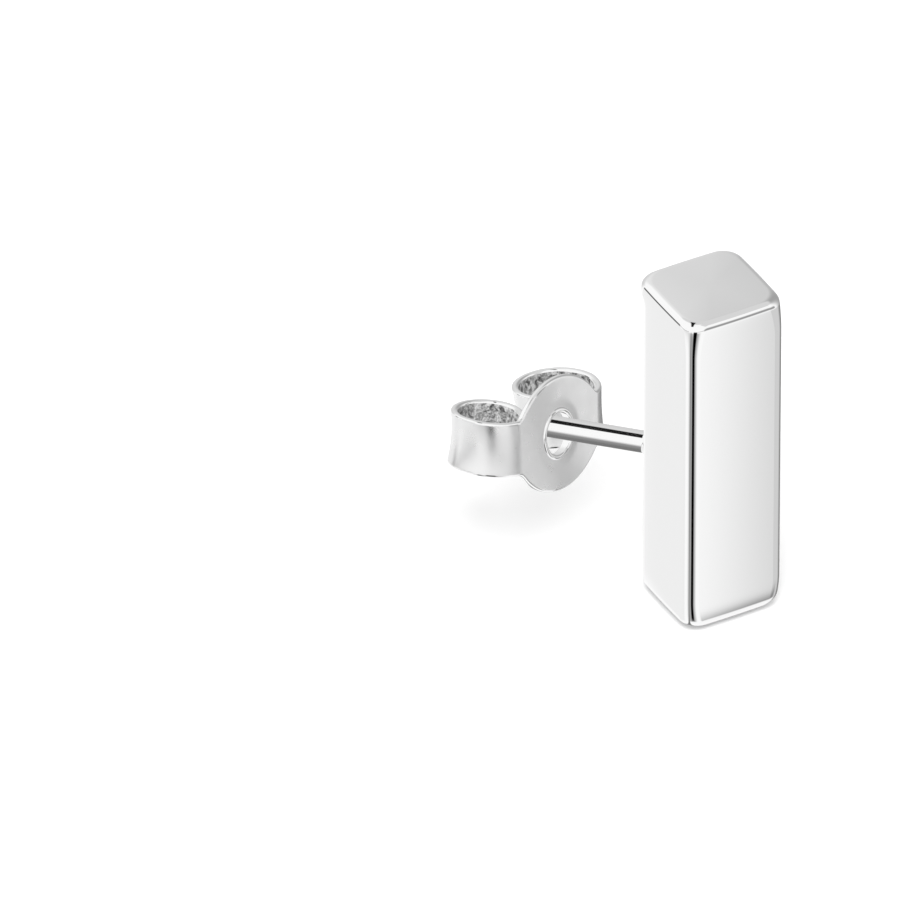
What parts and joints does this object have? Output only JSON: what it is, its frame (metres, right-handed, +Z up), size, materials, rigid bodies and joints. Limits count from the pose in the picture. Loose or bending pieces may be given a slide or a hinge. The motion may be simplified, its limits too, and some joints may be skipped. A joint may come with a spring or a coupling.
{
  "type": "bar earring",
  "caption": "Stud earring: a polished square silver bar on its end, a wire post on its rear edge and a sliding butterfly clutch with two loops.",
  "frame": {"origin": "middle of the bar's square foot, on the surface that it stands on", "axes": "+Z up along the bar, +Y along the ear post from the bar's rear edge, so the two front faces meet in a ridge at -Y"},
  "size_m": [0.0074, 0.0116, 0.0135],
  "materials": {
    "polished_silver": "mirror polished rhodium-plated sterling silver",
    "clutch_silver": "bright pressed sterling silver sheet, a little less polished than the bar, rough inside the loops"
  },
  "bodies": {
    "stud": {"bar_with_post": "polished_silver"},
    "clutch": {"butterfly_clutch": "clutch_silver"}
  },
  "joints": [
    {"name": "clutch_slide", "type": "slide", "parent": "stud", "child": "clutch", "axis": [0, 1, 0], "range_m": [-0.0023, 0.0072]}
  ]
}
